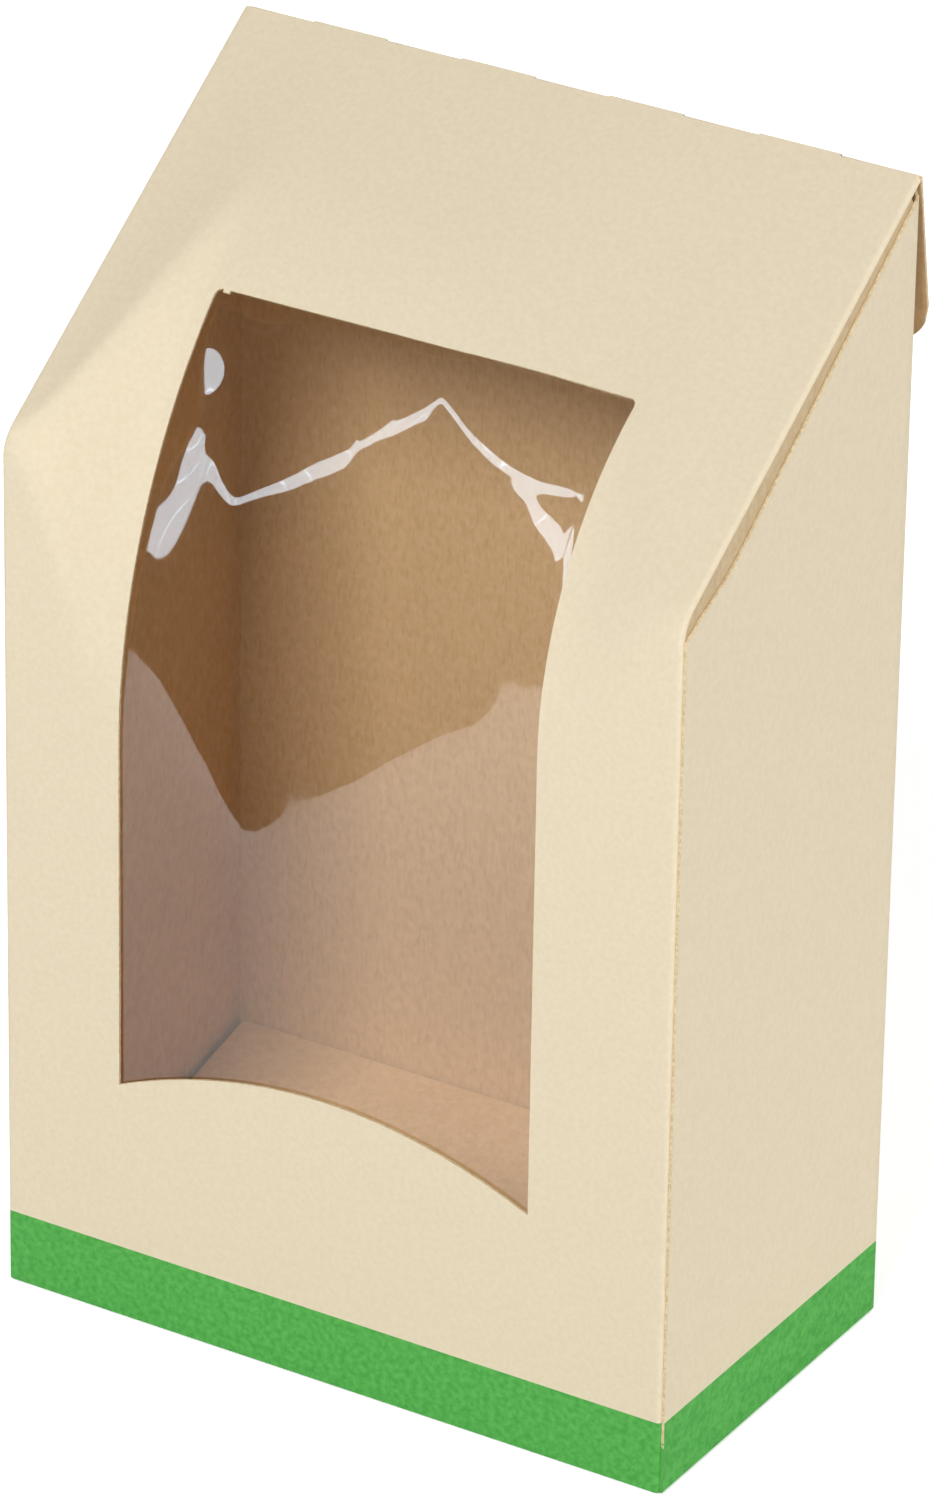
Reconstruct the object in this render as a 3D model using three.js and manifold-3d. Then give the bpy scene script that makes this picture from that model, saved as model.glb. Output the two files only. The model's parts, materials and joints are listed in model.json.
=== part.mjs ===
// Paper sandwich box: a tall folded carton with a sloping lid, a film window that runs from
// the front over the bend into the lid, and a closing flap that hangs down the back.
// Millimetres. X runs across the width, the front faces -Y, +Z is up, and the origin is the
// centre of the base on the surface that the box stands on.

import * as THREE from 'three';
import { mergeVertices } from 'three/addons/utils/BufferGeometryUtils.js';
import Module from 'manifold-3d';

// Driving dimensions

const boxWidth = 100;
const boxDepth = 55.8;
const ridgeHeight = 162.2;
const boardThickness = 0.4;
const filmThickness = 0.1;

// How far the ridge stands behind the back wall, so that the flap can hang outside it.
const ridgeOverhang = 0.5;

// The bend from front to lid is tight at the two side edges and wide between them. A radius
// and a corner height are given at the edges, at the window's left side, at its middle and at
// its right side. The corner height is where the lid's line would meet the front if the bend
// were sharp.
const edgeBendRadius = 5.6;
const edgeCornerHeight = 123.3;
const leftBendRadius = 79;
const leftCornerHeight = 128.6;
const middleBendRadius = 74;
const middleCornerHeight = 128.2;
const rightBendRadius = 47;
const rightCornerHeight = 124.6;

// The lid is slightly narrower than the front, so that its ears pass inside the side walls.
const lidInset = 0.4;
const lidInsetFade = 10;

// Window: a straight-sided hole with an arched lower edge and a small uncut nick.
const windowLeft = 17.6;
const windowRight = 79.5;
const windowCornerHeight = 34.7;
const windowArchRise = 6.9;
const windowTopBelowRidge = 40.6;
const windowCornerRadius = 1;
const nickWidth = 1;
const nickDepth = 0.45;

// Film glued behind the window.
const filmBorder = 5;
const glueGap = 0.3;

// Side walls, back wall and the seam at the front right corner.
const sideFrontHeight = 118;
const sideBackBelowRidge = 2.2;
const backWallBelowRidge = 1.3;
const seamStepBack = 0.5;
const glueTabWidth = 13;
const glueTabEndGap = 3;

// Ears of the lid, tucked inside the side walls.
const earDepth = 15;
const earClearance = 0.1;
const earFrontStart = 3;
const earNose = 5;
const earBackStop = 65;
const earTaper = 5;

// Base: an inner panel that rises towards the back, two dust flaps and a flat outer panel
// whose tongue comes up through a slot behind the front wall.
const innerBaseFrontHeight = 0.7;
const innerBaseBackHeight = 13.8;
const innerBaseSideGap = 1;
const foldGap = 0.3;
const dustFlapLength = 27;
const dustFlapWidth = 46;
const dustFlapTaper = 5;
const dustFlapLift = 0.8;
const tongueWidth = 40;
const tongueHeight = 12;
const tongueTaper = 4;

// Closing flap, held to the lid by a crease with cut stretches in it.
const flapLength = 25;
const flapSideGap = 0.3;
const flapCornerRadius = 6;
const flapFlareDegrees = 9.4;
const hingeGap = 0.35;
const cutTabLength = 0.35;
const cutNotchDepth = 0.4;
const cutStretches = [
  [10.6, 21.5],
  [32.8, 43.7],
  [54.6, 65.5],
  [76.4, 88.2],
];
const cutStep = 0.05;

// Fineness of the curved sheet, and the least distance between two of its rows
const rowMargin = 1;
const bendSegments = 16;
const lidSegments = 6;
const archSegments = 10;
const stripSegments = 5;

// Places worked out from the dimensions

const halfWidth = boxWidth / 2;
const frontY = -boxDepth / 2;
const backY = boxDepth / 2;
const ridgeY = backY + ridgeOverhang;
const sheetWidth = boxWidth - boardThickness;
const innerFrontY = frontY + boardThickness;
const innerBackY = backY - boardThickness;
const windowMiddle = (windowLeft + windowRight) / 2;
const windowHalf = (windowRight - windowLeft) / 2;
const nickStart = windowLeft + windowCornerRadius;

// Stops across the width between which the bend's radius and corner height change smoothly.
const bendStops = [
  { across: 0, radius: edgeBendRadius, cornerHeight: edgeCornerHeight },
  { across: windowLeft, radius: leftBendRadius, cornerHeight: leftCornerHeight },
  { across: windowMiddle, radius: middleBendRadius, cornerHeight: middleCornerHeight },
  { across: windowRight, radius: rightBendRadius, cornerHeight: rightCornerHeight },
  { across: boxWidth, radius: edgeBendRadius, cornerHeight: edgeCornerHeight },
];

const wasm = await Module();
wasm.setup();

// Solid helpers

function toManifold(geometry) {
  const bare = geometry.clone();
  bare.deleteAttribute('normal');
  bare.deleteAttribute('uv');
  const merged = mergeVertices(bare, 1e-5);
  const mesh = new wasm.Mesh({
    numProp: 3,
    vertProperties: new Float32Array(merged.attributes.position.array),
    triVerts: new Uint32Array(merged.index.array),
  });
  return new wasm.Manifold(mesh);
}

function toGeometry(manifold) {
  const mesh = manifold.getMesh();
  const geometry = new THREE.BufferGeometry();
  geometry.setAttribute('position', new THREE.BufferAttribute(new Float32Array(mesh.vertProperties), 3));
  geometry.setIndex(new THREE.BufferAttribute(new Uint32Array(mesh.triVerts), 1));
  geometry.computeVertexNormals();
  return geometry;
}

function joined(solids) {
  return solids.reduce((whole, solid) => whole.add(solid));
}

// A box between two corners
function block(low, high) {
  const geometry = new THREE.BoxGeometry(high[0] - low[0], high[1] - low[1], high[2] - low[2]);
  geometry.translate((low[0] + high[0]) / 2, (low[1] + high[1]) / 2, (low[2] + high[2]) / 2);
  return toManifold(geometry);
}

// A flat panel lying in a plane of constant X, its outline given as [y, z] points.
function sidePanel(outline, xLow, thickness) {
  const shape = new THREE.Shape(outline.map(([y, z]) => new THREE.Vector2(y, z)));
  const geometry = new THREE.ExtrudeGeometry(shape, { depth: thickness, bevelEnabled: false });
  geometry.rotateX(Math.PI / 2);
  geometry.rotateZ(Math.PI / 2);
  geometry.translate(xLow, 0, 0);
  return toManifold(geometry);
}

// A flat panel lying in a plane of constant Z, its outline given as [x, y] points.
function levelPanel(outline, zLow, thickness) {
  const shape = new THREE.Shape(outline.map(([x, y]) => new THREE.Vector2(x, y)));
  const geometry = new THREE.ExtrudeGeometry(shape, { depth: thickness, bevelEnabled: false });
  geometry.translate(0, 0, zLow);
  return toManifold(geometry);
}

// The bent sheet's section

function bendAt(across) {
  const place = THREE.MathUtils.clamp(across, 0, boxWidth);
  const next = Math.max(1, bendStops.findIndex((stop) => stop.across >= place));
  const before = bendStops[next - 1];
  const after = bendStops[next];
  const blend = THREE.MathUtils.smoothstep(place, before.across, after.across);
  return {
    radius: THREE.MathUtils.lerp(before.radius, after.radius, blend),
    cornerHeight: THREE.MathUtils.lerp(before.cornerHeight, after.cornerHeight, blend),
  };
}

// Section of the outer face at one place across the width: straight up the front, round the
// bend, and straight along the lid to the ridge.
function sectionAt(across) {
  const { radius, cornerHeight } = bendAt(across);
  const run = ridgeY - frontY;
  const rise = ridgeHeight - cornerHeight;
  const turn = Math.PI / 2 - Math.atan2(rise, run);
  const tangent = radius * Math.tan(turn / 2);
  const bendStart = cornerHeight - tangent;
  const bendEnd = bendStart + radius * turn;
  const total = bendEnd + Math.hypot(run, rise) - tangent;
  return { radius, turn, bendStart, bendEnd, total };
}

// Point and outward direction in the YZ plane, a distance along the section from the bottom.
function alongSection(section, distance) {
  const { radius, turn, bendStart, bendEnd } = section;
  if (distance <= bendStart) {
    return { y: frontY, z: distance, outY: -1, outZ: 0 };
  }
  const angle = Math.min(distance - bendStart, bendEnd - bendStart) / radius;
  const past = Math.max(0, distance - bendEnd);
  return {
    y: frontY + radius * (1 - Math.cos(angle)) + past * Math.sin(turn),
    z: bendStart + radius * Math.sin(angle) + past * Math.cos(turn),
    outY: -Math.cos(angle),
    outZ: Math.sin(angle),
  };
}

// Point of the sheet at a place across and along it, a depth below its outer face.
function sheetPoint(across, distance, depth) {
  const section = sectionAt(across);
  const point = alongSection(section, distance);
  const onLid = THREE.MathUtils.smoothstep(distance, section.bendStart, section.bendEnd);
  const nearLeft = Math.max(0, 1 - across / lidInsetFade);
  return new THREE.Vector3(
    across - halfWidth + lidInset * onLid * nearLeft,
    point.y - point.outY * depth,
    point.z - point.outZ * depth,
  );
}

// A closed curved panel made from a grid of cells. rows are functions that give, for a place
// across the sheet, the distance along it. Cells for which isOpen is true are left out.
function bentPanel({ columns, rows, outerDepth, innerDepth, isOpen }) {
  const rowCount = rows.length;
  const positions = [];
  for (const depth of [outerDepth, innerDepth]) {
    for (const across of columns) {
      for (const row of rows) {
        positions.push(...sheetPoint(across, row(across), depth).toArray());
      }
    }
  }
  const layer = columns.length * rowCount;
  const outer = (i, j) => i * rowCount + j;
  const inner = (i, j) => layer + i * rowCount + j;
  const inGrid = (i, j) => i >= 0 && j >= 0 && i < columns.length - 1 && j < rowCount - 1;
  const solid = (i, j) => inGrid(i, j) && !isOpen(i, j);
  const faces = [];
  const quad = (a, b, c, d) => faces.push(a, b, c, a, c, d);
  for (let i = 0; i < columns.length - 1; i++) {
    for (let j = 0; j < rowCount - 1; j++) {
      if (!solid(i, j)) continue;
      quad(outer(i, j), outer(i + 1, j), outer(i + 1, j + 1), outer(i, j + 1));
      quad(inner(i, j), inner(i, j + 1), inner(i + 1, j + 1), inner(i + 1, j));
      if (!solid(i - 1, j)) quad(outer(i, j), outer(i, j + 1), inner(i, j + 1), inner(i, j));
      if (!solid(i + 1, j)) quad(outer(i + 1, j + 1), outer(i + 1, j), inner(i + 1, j), inner(i + 1, j + 1));
      if (!solid(i, j - 1)) quad(outer(i + 1, j), outer(i, j), inner(i, j), inner(i + 1, j));
      if (!solid(i, j + 1)) quad(outer(i, j + 1), outer(i + 1, j + 1), inner(i + 1, j + 1), inner(i, j + 1));
    }
  }
  const geometry = new THREE.BufferGeometry();
  geometry.setAttribute('position', new THREE.Float32BufferAttribute(positions, 3));
  geometry.setIndex(faces);
  return toManifold(geometry);
}

// Window outline on the sheet

function windowBottomAt(across) {
  const offset = (across - windowMiddle) / windowHalf;
  return windowCornerHeight + windowArchRise * Math.max(0, 1 - offset * offset);
}

function windowTopAt(across) {
  const edge = sectionAt(across).total - windowTopBelowRidge;
  const fromCorner = Math.min(across - windowLeft, windowRight - across);
  const short = windowCornerRadius - THREE.MathUtils.clamp(fromCorner, 0, windowCornerRadius);
  const drop = windowCornerRadius - Math.sqrt(windowCornerRadius ** 2 - short ** 2);
  const inNick = across > nickStart + cutStep / 2 && across < nickStart + nickWidth - cutStep / 2;
  return edge - drop - (inNick ? nickDepth : 0);
}

// Distance along the sheet at which the lid ends: short of the crease, or past it in a cut.
function lidEndAt(across) {
  const inCut = cutStretches.some(([from, to]) => across > from + cutStep / 2 && across < to - cutStep / 2);
  return sectionAt(across).total + (inCut ? cutTabLength : -hingeGap);
}

// Places across the sheet between two values, both ends included
function evenly(from, to, count) {
  return Array.from({ length: count + 1 }, (_, i) => from + ((to - from) * i) / count);
}

// Rows through the flat front, the bend and the lid up to the window's top edge. Each is a
// distance along the sheet as a function of the place across it.
function rowsToWindowTop(bottomAt, topAt) {
  const flatPart = (across) => Math.max(sectionAt(across).bendStart, bottomAt(across) + rowMargin);
  const bendPart = (across) => Math.min(sectionAt(across).bendEnd, topAt(across) - rowMargin);
  const bendRows = evenly(0, 1, bendSegments).map(
    (share) => (across) => THREE.MathUtils.lerp(flatPart(across), bendPart(across), share),
  );
  return [bottomAt, ...bendRows, topAt];
}

function uniqueSorted(values) {
  const sorted = [...values].sort((a, b) => a - b);
  return sorted.filter((value, i) => i === 0 || value - sorted[i - 1] > cutStep / 2);
}

// Front wall and lid as one bent sheet

function frontAndLid() {
  const cornerArc = [0.13, 0.5, 1].map((share) => share * windowCornerRadius);
  const columns = uniqueSorted([
    ...evenly(0, windowLeft, stripSegments),
    ...evenly(windowLeft + windowCornerRadius, windowRight - windowCornerRadius, archSegments),
    ...evenly(windowRight, sheetWidth, stripSegments),
    ...cornerArc.map((step) => windowLeft + step),
    ...cornerArc.map((step) => windowRight - step),
    nickStart + cutStep,
    nickStart + nickWidth - cutStep,
    nickStart + nickWidth,
    ...cutStretches.flatMap(([from, to]) => [from, from + cutStep, to - cutStep, to]),
  ]);
  const toWindowTop = rowsToWindowTop(windowBottomAt, windowTopAt);
  const aboveWindow = evenly(0, 1, lidSegments).slice(1).map(
    (share) => (across) => THREE.MathUtils.lerp(windowTopAt(across), lidEndAt(across), share),
  );
  const rows = [() => 0, ...toWindowTop, ...aboveWindow];
  const isOpen = (i, j) => {
    const middle = (columns[i] + columns[i + 1]) / 2;
    return middle > windowLeft && middle < windowRight && j >= 1 && j < toWindowTop.length;
  };
  return bentPanel({ columns, rows, outerDepth: 0, innerDepth: boardThickness, isOpen });
}

// Walls

function leftSide() {
  return sidePanel(sideOutline(frontY), -halfWidth, boardThickness);
}

// The right side's front edge is cut, and stops just behind the corner.
function rightSide() {
  return sidePanel(sideOutline(frontY + seamStepBack), halfWidth - boardThickness, boardThickness);
}

function sideOutline(frontEdge) {
  return [
    [frontEdge, 0],
    [backY, 0],
    [backY, ridgeHeight - sideBackBelowRidge],
    [frontEdge, sideFrontHeight],
  ];
}

function backWall() {
  return block([-halfWidth, innerBackY, 0], [halfWidth, backY, ridgeHeight - backWallBelowRidge]);
}

// Tab that continues the front wall round the right corner, glued inside the right side.
function glueTab() {
  const outer = halfWidth - boardThickness;
  return block(
    [outer - boardThickness, frontY, glueTabEndGap],
    [outer, frontY + glueTabWidth, sideFrontHeight - glueTabEndGap],
  );
}

// Ear that folds down from the lid's edge and stands inside a side wall.
function lidEar(across, xLow) {
  const section = sectionAt(across);
  const corner = section.bendStart + section.radius * Math.tan(section.turn / 2);
  const place = (along, depth) => [
    frontY + along * Math.sin(section.turn) + depth * Math.cos(section.turn),
    corner + along * Math.cos(section.turn) - depth * Math.sin(section.turn),
  ];
  const inSheet = boardThickness / 2;
  const backShift = earDepth / Math.tan(section.turn);
  const outline = [
    place(earFrontStart, inSheet),
    place(earFrontStart - earNose, earNose),
    place(earFrontStart + earTaper, earDepth),
    place(earBackStop - earTaper - backShift / 2, earDepth),
    place(earBackStop, inSheet),
  ];
  return sidePanel(outline, xLow, boardThickness);
}

// Base

function innerBase() {
  const half = halfWidth - boardThickness - innerBaseSideGap;
  const from = [frontY + boardThickness / 2, innerBaseFrontHeight];
  const to = [innerBackY - foldGap, innerBaseBackHeight];
  const panel = sidePanel(
    [
      [from[0], from[1] - boardThickness / 2],
      [to[0], to[1] - boardThickness / 2],
      [to[0], to[1] + boardThickness / 2],
      [from[0], from[1] + boardThickness / 2],
    ],
    -half,
    2 * half,
  );
  const slotHalf = tongueWidth / 2 + foldGap;
  const slotBack = innerFrontY + foldGap + boardThickness + foldGap;
  const slot = block([-slotHalf, frontY, 0], [slotHalf, slotBack, innerBaseBackHeight]);
  return panel.subtract(slot);
}

function outerBase() {
  const half = halfWidth - boardThickness - foldGap;
  const front = innerFrontY + foldGap;
  const panel = block([-half, front, 0], [half, backY - boardThickness / 2, boardThickness]);
  const tongueShape = new THREE.Shape([
    new THREE.Vector2(-tongueWidth / 2, 0),
    new THREE.Vector2(tongueWidth / 2, 0),
    new THREE.Vector2(tongueWidth / 2 - tongueTaper, tongueHeight),
    new THREE.Vector2(tongueTaper - tongueWidth / 2, tongueHeight),
  ]);
  const tongue = new THREE.ExtrudeGeometry(tongueShape, { depth: boardThickness, bevelEnabled: false });
  tongue.rotateX(Math.PI / 2);
  tongue.translate(0, front + boardThickness, 0);
  return panel.add(toManifold(tongue));
}

function dustFlap(side) {
  const root = side * (halfWidth - boardThickness / 2);
  const tip = side * (halfWidth - dustFlapLength);
  const middle = (innerFrontY + innerBackY) / 2 + boardThickness;
  const outline = [
    [root, middle - dustFlapWidth / 2],
    [tip, middle - dustFlapWidth / 2 + dustFlapTaper],
    [tip, middle + dustFlapWidth / 2 - dustFlapTaper],
    [root, middle + dustFlapWidth / 2],
  ];
  return levelPanel(outline, dustFlapLift, boardThickness);
}

function cartonGeometry() {
  const earInside = boardThickness + earClearance;
  return toGeometry(
    joined([
      frontAndLid(),
      leftSide(),
      rightSide(),
      backWall(),
      glueTab(),
      lidEar(0, earInside - halfWidth),
      lidEar(boxWidth, halfWidth - earInside - boardThickness),
      innerBase(),
      outerBase(),
      dustFlap(-1),
      dustFlap(1),
    ]),
  );
}

// Window film

function filmGeometry() {
  const left = windowLeft - filmBorder;
  const right = windowRight + filmBorder;
  const columns = evenly(left, right, 2 * archSegments);
  const bottomAt = () => windowCornerHeight - filmBorder;
  const topAt = (across) => sectionAt(across).total - windowTopBelowRidge + filmBorder;
  const depth = boardThickness + glueGap;
  return toGeometry(
    bentPanel({
      columns,
      rows: rowsToWindowTop(bottomAt, topAt),
      outerDepth: depth,
      innerDepth: depth + filmThickness,
      isOpen: () => false,
    }),
  );
}

// Closing flap, drawn hanging straight down from the crease, which is the local origin.

function flapOutline() {
  const half = halfWidth - flapSideGap;
  const shape = new THREE.Shape();
  shape.moveTo(-half, -hingeGap);
  shape.lineTo(-half, -flapLength + flapCornerRadius);
  shape.absarc(-half + flapCornerRadius, -flapLength + flapCornerRadius, flapCornerRadius, Math.PI, 1.5 * Math.PI);
  shape.lineTo(half - flapCornerRadius, -flapLength);
  shape.absarc(half - flapCornerRadius, -flapLength + flapCornerRadius, flapCornerRadius, 1.5 * Math.PI, 2 * Math.PI);
  shape.lineTo(half, -hingeGap);
  for (const [from, to] of [...cutStretches].reverse()) {
    const notch = -hingeGap - cutNotchDepth;
    shape.lineTo(to - halfWidth + foldGap, -hingeGap);
    shape.lineTo(to - halfWidth + foldGap, notch);
    shape.lineTo(from - halfWidth - foldGap, notch);
    shape.lineTo(from - halfWidth - foldGap, -hingeGap);
  }
  shape.closePath();
  return shape;
}

function flapGeometry() {
  const geometry = new THREE.ExtrudeGeometry(flapOutline(), {
    depth: boardThickness,
    bevelEnabled: false,
    curveSegments: 8,
  });
  geometry.translate(0, 0, -boardThickness / 2);
  geometry.rotateX(Math.PI / 2);
  return geometry;
}

// Scene

const boardMaterial = new THREE.MeshStandardMaterial({ color: 0xe6d8b8, roughness: 0.8, metalness: 0 });
const filmMaterial = new THREE.MeshStandardMaterial({
  color: 0xf4f6f6,
  roughness: 0.05,
  metalness: 0,
  transparent: true,
  opacity: 0.25,
});

function namedMesh(name, geometry, material) {
  const mesh = new THREE.Mesh(geometry, material);
  mesh.name = name;
  return mesh;
}

const sandwichBox = new THREE.Group();
sandwichBox.name = 'sandwich_box';
sandwichBox.add(namedMesh('carton', cartonGeometry(), boardMaterial));
sandwichBox.add(namedMesh('window_film', filmGeometry(), filmMaterial));

const crease = alongSection(sectionAt(boxWidth), sectionAt(boxWidth).total);
const closingFlap = namedMesh('closure_flap', flapGeometry(), boardMaterial);
closingFlap.position.set(
  0,
  crease.y - (crease.outY * boardThickness) / 2,
  crease.z - (crease.outZ * boardThickness) / 2,
);
closingFlap.rotation.x = THREE.MathUtils.degToRad(flapFlareDegrees);
sandwichBox.add(closingFlap);

export default sandwichBox;
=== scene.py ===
import json
import math

import bmesh
import bpy
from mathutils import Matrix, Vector

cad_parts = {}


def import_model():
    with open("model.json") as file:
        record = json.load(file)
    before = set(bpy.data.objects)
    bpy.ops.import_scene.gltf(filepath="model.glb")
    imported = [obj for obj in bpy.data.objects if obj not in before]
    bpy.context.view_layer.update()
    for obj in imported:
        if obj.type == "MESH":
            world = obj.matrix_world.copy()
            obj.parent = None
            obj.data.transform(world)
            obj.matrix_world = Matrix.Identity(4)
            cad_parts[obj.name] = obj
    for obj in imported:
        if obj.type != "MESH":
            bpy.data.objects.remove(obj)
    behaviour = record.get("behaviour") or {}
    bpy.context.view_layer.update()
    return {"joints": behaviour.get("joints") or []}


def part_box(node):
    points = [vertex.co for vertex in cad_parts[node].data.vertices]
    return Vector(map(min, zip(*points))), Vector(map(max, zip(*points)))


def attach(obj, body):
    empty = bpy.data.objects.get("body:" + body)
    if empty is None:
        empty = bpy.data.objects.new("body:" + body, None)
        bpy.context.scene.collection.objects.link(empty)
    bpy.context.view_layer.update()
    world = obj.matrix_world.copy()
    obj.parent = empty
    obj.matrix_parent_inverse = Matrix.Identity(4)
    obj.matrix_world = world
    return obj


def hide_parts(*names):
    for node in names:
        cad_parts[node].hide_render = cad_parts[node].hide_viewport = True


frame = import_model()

# Sizes in metres, taken from the frame where it holds them
MM = 0.001
BOARD = 0.4 * MM
CARTON_LOW, CARTON_HIGH = (Vector(corner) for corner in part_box("carton"))
HALF_WIDTH = CARTON_HIGH.x
FRONT_Y = CARTON_LOW.y
BACK_Y = -FRONT_Y
SHEET_WIDTH = 2 * HALF_WIDTH - BOARD
HINGE = Vector(frame["joints"][0]["pos_m"])

# The ridge is where the lid's outer face meets the crease, half a board outside the hinge.
RIDGE_Y = BACK_Y + 0.5 * MM
RIDGE_Z = 162.2 * MM

FOLD_RADIUS = 0.6 * MM
FOOT_RADIUS = 0.35 * MM
FOLD_LENGTH = FOLD_RADIUS * math.pi / 2

# Less than any size here: keeps two faces apart and tells one wall from the next
HAIR = 0.01 * MM

# The lid's left edge stands in from the side wall. That fades across the lid and up to the ridge.
LID_INSET = 0.4 * MM
LID_INSET_FADE = 10 * MM

# Window
WINDOW_LEFT = 17.6 * MM
WINDOW_RIGHT = 79.5 * MM
WINDOW_CORNER_HEIGHT = 34.7 * MM
WINDOW_ARCH_RISE = 6.9 * MM
WINDOW_TOP_BELOW_RIDGE = 40.6 * MM
WINDOW_CORNER_RADIUS = 1 * MM
NICK_WIDTH = 1 * MM
NICK_DEPTH = 0.45 * MM
NICK_SLOPE = 0.04 * MM
WINDOW_MIDDLE = (WINDOW_LEFT + WINDOW_RIGHT) / 2
WINDOW_HALF = (WINDOW_RIGHT - WINDOW_LEFT) / 2
FILM_BORDER = 5 * MM
FILM_DEPTH = BOARD + 0.06 * MM
FILM_THICKNESS = 0.1 * MM

# Rows of the mesh: those up to this value cover the turned-in foot, and beside the window a
# fifth of them cover the flat stretch up to this height
FOOT_ROW = 0.1
FLAT_ROWS_SHARE = 0.2
FLAT_ROWS_TOP = 80 * MM

# The bend between front and lid: place across, radius, and the height at which the lid's
# line would meet the front if the bend were sharp.
BEND_STOPS = (
    (0, 5.6 * MM, 123.3 * MM),
    (WINDOW_LEFT, 79 * MM, 128.6 * MM),
    (WINDOW_MIDDLE, 74 * MM, 128.2 * MM),
    (WINDOW_RIGHT, 47 * MM, 124.6 * MM),
    (2 * HALF_WIDTH, 5.6 * MM, 123.3 * MM),
)

# Walls and ears
SIDE_FRONT_HEIGHT = 118 * MM
SIDE_FRONT_RISE = 2.4 * MM
SIDE_FRONT_RISE_LENGTH = 13 * MM
SIDE_BACK_HEIGHT = 160 * MM
BACK_HEIGHT = 160.9 * MM
SEAM_STEP = 0.5 * MM
GLUE_TAB_WIDTH = 13 * MM
GLUE_TAB_END_GAP = 3 * MM
EAR_DEPTH = 15 * MM
EAR_NOSE = 4.5 * MM
EAR_CLEARANCE = 0.03 * MM
EAR_START_BELOW_BEND = 1 * MM
EAR_END_BELOW_RIDGE = 3 * MM
EAR_EASE = 12 * MM
EAR_END_SHARE = 0.25

# Base
INNER_BASE_FRONT_HEIGHT = 0.7 * MM
INNER_BASE_BACK_HEIGHT = 13.8 * MM
INNER_BASE_SIDE_GAP = 1 * MM
FOLD_GAP = 0.3 * MM
DUST_FLAP_LIFT = 0.8 * MM
DUST_FLAP_LENGTH = 27 * MM
DUST_FLAP_WIDTH = 46 * MM
DUST_FLAP_TAPER = 5 * MM
TONGUE_WIDTH = 40 * MM
TONGUE_HEIGHT = 12 * MM
TONGUE_TAPER = 0.2

# Closing flap, and its crease: the places across (mm) where it is cut, and its two ends
FLAP_LENGTH = 25 * MM
FLAP_SIDE_GAP = 0.3 * MM
FLAP_CORNER_RADIUS = 6 * MM
FLAP_FLARE = math.radians(9.4)
CUT_TAB = 0.35 * MM
CUT_NOTCH = 0.75 * MM
CUT_STRETCHES = ((10.6, 21.5), (32.8, 43.7), (54.6, 65.5), (76.4, 88.2))
CREASE_ENDS = (0.9, 99.3)

# The film's shape, read off the photo. At each place across (mm): the height at which the film
# has begun to lean (mm), the height of its crease (mm), and how broad the crease is (mm).
FILM_LINES = (
    (17.6, 101, 126, 3),
    (23.6, 94.5, 125, 5),
    (27.6, 88, 119.8, 1),
    (31.1, 81, 122.2, 2),
    (35.6, 75, 124.8, 3.2),
    (39, 76, 126.8, 3.4),
    (43, 79, 130.2, 2.4),
    (48, 83.5, 134.9, 1.4),
    (52.6, 87.5, 139.2, 0.8),
    (57.6, 92, 136.7, 1),
    (65, 98, 133.7, 2),
    (70.6, 101.5, 131.2, 3),
    (75.6, 104.5, 129.1, 7.7),
    (79.5, 108, 128, 14.9),
)
# Small dents beside the window's edges: place across and along, half sizes (mm), lean (degrees)
FILM_DENTS = (
    (21, 136, 10, 8, -17),
    (22, 145, 9, 6, 17),
    (76, 111, 6, 8, 4),
    (75, 134, 12, 2, -15),
    (75, 136, 12, 3, 11),
)
# How far the film leans back (degrees) on its way up. Each stop is counted from where it has
# begun to lean, from the low or the high side of its crease, or from the window's top (mm). The
# last two values are added where the film has to end further back, or less far back.
FILM_LEANS = (
    ("rise", -16, 0, 0, 0),
    ("rise", -4, 9.5, 0, 0),
    ("rise", 0, 12.7, 0, 0),
    ("rise", 2, 16.8, 1.2, 1.2),
    ("low", -2, 18.5, 4, 1.5),
    ("low", 0, 24, 0, 0),
    ("high", 0, 30, 0, 0),
    ("high", 1.5, 39, 2, 2),
    ("top", 0, 43, 9, 7),
)
# Places across (mm): the film comes free of the glue at the left, and is held again at the right
FILM_FREE_LEFT = (17.5, 23.5)
FILM_FREE_RIGHT = (69, 80)
# How far (mm) the corners of the film's lines are eased
RISE_EASE = 1.6
CREASE_EASE = 0.7
BREADTH_EASE = 1.2
# Height (mm) from which the film's lean is added up
FILM_START = 30
# How far (mm) the film ends behind the board's line at the window's top, and the slack that is
# added to it round one place across
FILM_BEHIND = 0.3
FILM_SLACK = 3.2
FILM_SLACK_PLACE = 34
FILM_SLACK_REACH = 26
# What is left over at the top is taken up from this height (mm), and above the window's top the
# film comes back to the board between these two distances (mm)
FILM_TAKE_UP = 85
FILM_GLUED = (1.6, 4.8)

# Print
GREEN_BAND_TOP = 10.5 * MM
INKED_EDGE_TOP = 8.5 * MM
INKED_EDGE_WANDER = 3 * MM

# Studio, in metres, degrees and watts
TABLE_RADIUS = 1.02
TABLE_DROP = 0.2 * MM
TABLE_GLOW = 0.55

# Between these two heights of their direction, reflections go from white to the dim room
HORIZON_LOW = -0.1
HORIZON_HIGH = -0.085
ROOM_LEVEL = 0.06
LIGHT_LEVEL = 0.24

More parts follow.
